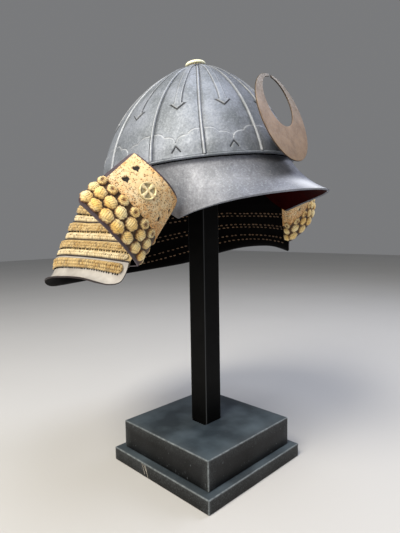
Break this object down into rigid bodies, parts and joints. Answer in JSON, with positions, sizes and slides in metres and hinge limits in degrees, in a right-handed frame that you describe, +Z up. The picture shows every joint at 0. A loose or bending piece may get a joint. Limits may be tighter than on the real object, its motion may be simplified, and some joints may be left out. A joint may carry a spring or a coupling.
{
  "type": "samurai helmet on display stand",
  "caption": "Ribbed iron kabuto with visor, laced neck guard, turned-back flaps and crescent crest, on a plain square post stand.",
  "frame": {"origin": "on the table, under the middle of the stand's lower tier", "axes": "+Z up, front of the helmet towards -Y, wearer's left towards +X"},
  "size_m": [0.3824, 0.3392, 0.4705],
  "materials": {
    "bowl_iron": "polished gunmetal iron, satin, with tooled marks",
    "visor_iron": "satin gunmetal iron above, dark red lacquer below",
    "crown_brass": "aged brass",
    "crown_cap": "ivory-yellow lacquered cap",
    "lame_lacquer": "pale gold lacquer, black inside",
    "skirt_iron": "smooth grey-beige lacquer, black inside",
    "lacing_cord": "old gold silk lacing",
    "flap_iron": "purple-brown lacquered iron",
    "flap_leather": "cream-tan leather, pitted and mottled brown",
    "boss_brass": "pale brass",
    "crest_bronze": "matt tan bronze",
    "post_paint": "near-black satin paint",
    "stand_steel": "blackened steel, worn bright at the edges"
  },
  "bodies": {
    "root": {"bowl_plate_01": "bowl_iron", "bowl_plate_02": "bowl_iron", "bowl_plate_03": "bowl_iron", "bowl_plate_04": "bowl_iron", "bowl_plate_05": "bowl_iron", "bowl_plate_06": "bowl_iron", "bowl_plate_07": "bowl_iron", "bowl_plate_08": "bowl_iron", "bowl_plate_09": "bowl_iron", "bowl_plate_10": "bowl_iron", "bowl_plate_11": "bowl_iron", "bowl_plate_12": "bowl_iron", "rim_lip": "bowl_iron", "visor": "visor_iron", "crown_base": "crown_brass", "crown_petals": "crown_brass", "crown_cap": "crown_cap", "neck_lame_1": "lame_lacquer", "neck_lame_2": "lame_lacquer", "neck_lame_3": "lame_lacquer", "neck_lame_4": "lame_lacquer", "neck_lame_5": "skirt_iron", "lacing_band_2": "lacing_cord", "lacing_band_3": "lacing_cord", "lacing_band_4": "lacing_cord", "lacing_band_5": "lacing_cord", "flap_plate_left": "flap_iron", "flap_leather_left": "flap_leather", "flap_boss_left": "boss_brass", "knot_row_left_1": "lacing_cord", "knot_row_left_2": "lacing_cord", "knot_row_left_3": "lacing_cord", "flap_plate_right": "flap_iron", "flap_leather_right": "flap_leather", "flap_boss_right": "boss_brass", "knot_row_right_1": "lacing_cord", "knot_row_right_2": "lacing_cord", "knot_row_right_3": "lacing_cord", "crest": "crest_bronze", "crest_holder": "bowl_iron", "stand_pad": "post_paint", "stand_post": "post_paint", "stand_base_upper": "stand_steel", "stand_base_lower": "stand_steel"}
  },
  "joints": []
}
